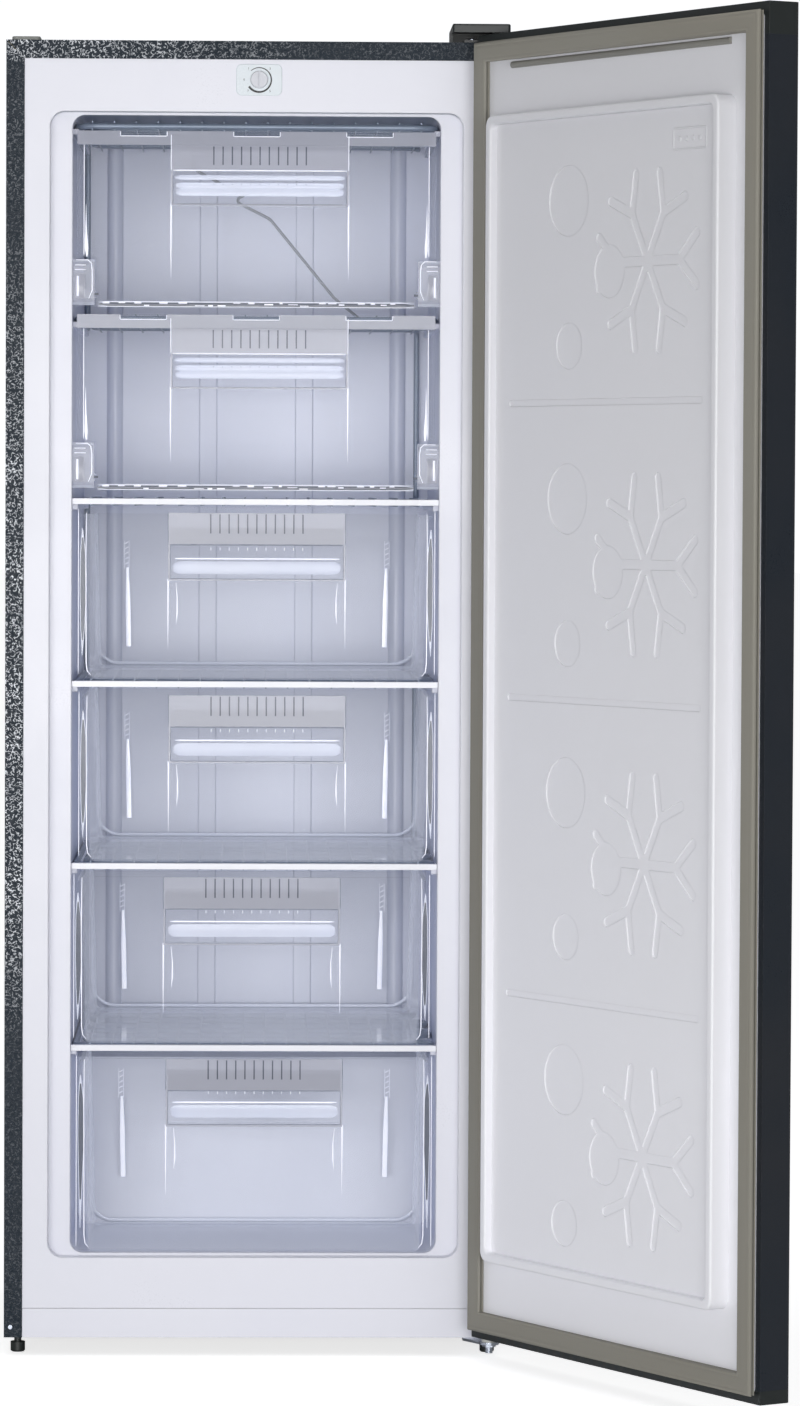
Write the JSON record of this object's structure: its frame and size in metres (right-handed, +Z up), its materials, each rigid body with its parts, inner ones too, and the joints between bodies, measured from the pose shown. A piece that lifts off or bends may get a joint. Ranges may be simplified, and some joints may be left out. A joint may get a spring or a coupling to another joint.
{
  "type": "upright freezer",
  "caption": "Upright freezer with its hinged door open, clear tilting flaps over clear pull-out drawers, and a thermostat dial above the mouth.",
  "frame": {"origin": "on the floor, under the middle of the cabinet's footprint", "axes": "+X to the right as seen from the front, -Y towards the viewer, +Z up"},
  "size_m": [0.8175, 1.0354, 1.454],
  "materials": {
    "shell_paint": "satin",
    "sheet_steel": "satin",
    "back_sheet": "satin",
    "liner_white": "satin",
    "door_liner_white": "satin",
    "clear_plastic": "gloss",
    "white_trim": "satin",
    "foam": "matte",
    "black_plastic": "matte",
    "grey_plastic": "satin",
    "zinc_steel": "satin",
    "black_steel": "satin",
    "evaporator_tube": "satin",
    "gasket_rubber": "matte",
    "mount_rubber": "matte",
    "magnet": "matte",
    "copper_pipe": "satin",
    "nylon": "satin"
  },
  "bodies": {
    "cabinet": {"back_panel": "back_sheet", "base_panel": "sheet_steel", "bottom_hinge_bracket": "zinc_steel", "bottom_hinge_screws": "zinc_steel", "cabinet_insulation": "foam", "compressor": "black_steel", "compressor_bolts": "zinc_steel", "compressor_mounts": "mount_rubber", "compressor_shelf": "sheet_steel", "condenser_brackets": "black_plastic", "condenser_coil": "black_steel", "condenser_wires": "black_steel", "evaporator_risers": "evaporator_tube", "evaporator_shelf_1": "evaporator_tube", "evaporator_shelf_2": "evaporator_tube", "evaporator_shelf_3": "evaporator_tube", "evaporator_shelf_4": "evaporator_tube", "evaporator_shelf_5": "evaporator_tube", "evaporator_shelf_6": "evaporator_tube", "filter_drier": "copper_pipe", "flap_hinge_blocks": "clear_plastic", "hinge_hole_cap": "grey_plastic", "hinge_washer": "nylon", "inner_liner": "liner_white", "kick_strip": "liner_white", "outer_shell": "shell_paint", "rear_feet": "black_plastic", "refrigerant_pipes": "copper_pipe", "sensor_capillary": "grey_plastic", "shelf_ledges": "liner_white", "shelf_trim_1": "white_trim", "shelf_trim_2": "white_trim", "shelf_trim_3": "white_trim", "shelf_trim_4": "white_trim", "shell_screws": "zinc_steel", "terminal_cover": "black_plastic", "thermostat_body": "black_plastic", "thermostat_plate": "liner_white", "top_hinge_bracket": "black_steel", "top_hinge_cover": "black_plastic", "top_hinge_screws": "zinc_steel"},
    "door": {"door_skin": "shell_paint", "door_top_cap": "black_plastic", "door_bottom_cap": "black_plastic", "door_liner": "door_liner_white", "door_foam": "foam", "door_gasket": "gasket_rubber", "gasket_magnets": "magnet", "door_hinge_bushes": "nylon", "door_top_strip": "grey_plastic"},
    "thermostat_knob": {"thermostat_knob": "grey_plastic"},
    "front_foot_left": {"front_foot_left": "black_plastic"},
    "front_foot_right": {"front_foot_right": "black_plastic"},
    "flap_1": {"flap_1": "clear_plastic"},
    "flap_2": {"flap_2": "clear_plastic"},
    "drawer_1": {"drawer_1": "clear_plastic"},
    "drawer_2": {"drawer_2": "clear_plastic"},
    "drawer_3": {"drawer_3": "clear_plastic"},
    "drawer_4": {"drawer_4": "clear_plastic"}
  },
  "joints": [
    {"name": "door_hinge", "type": "hinge", "parent": "cabinet", "child": "door", "pos_m": [0.2585, -0.2885, 0.73375], "axis": [0, 0, 1], "range_deg": [-120.5, 4.5]},
    {"name": "flap_1_hinge", "type": "hinge", "parent": "cabinet", "child": "flap_1", "pos_m": [0, -0.232, 1.1625], "axis": [1, 0, 0], "range_deg": [0, 90]},
    {"name": "flap_2_hinge", "type": "hinge", "parent": "cabinet", "child": "flap_2", "pos_m": [0, -0.232, 0.9625], "axis": [1, 0, 0], "range_deg": [0, 90]},
    {"name": "drawer_1_slide", "type": "slide", "parent": "cabinet", "child": "drawer_1", "axis": [0, -1, 0], "range_m": [0, 0.26]},
    {"name": "drawer_2_slide", "type": "slide", "parent": "cabinet", "child": "drawer_2", "axis": [0, -1, 0], "range_m": [0, 0.26]},
    {"name": "drawer_3_slide", "type": "slide", "parent": "cabinet", "child": "drawer_3", "axis": [0, -1, 0], "range_m": [0, 0.26]},
    {"name": "drawer_4_slide", "type": "slide", "parent": "cabinet", "child": "drawer_4", "axis": [0, -1, 0], "range_m": [0, 0.16]},
    {"name": "thermostat_turn", "type": "hinge", "parent": "cabinet", "child": "thermostat_knob", "pos_m": [0.0022, -0.2625, 1.395], "axis": [0, -1, 0], "range_deg": [-135, 135]},
    {"name": "front_foot_left_screw", "type": "hinge", "parent": "cabinet", "child": "front_foot_left", "pos_m": [-0.2585, -0.2285, 0], "axis": [0, 0, 1], "range_deg": [-360, 720]},
    {"name": "front_foot_right_screw", "type": "hinge", "parent": "cabinet", "child": "front_foot_right", "pos_m": [0.2585, -0.2285, 0], "axis": [0, 0, 1], "range_deg": [-360, 720]}
  ]
}
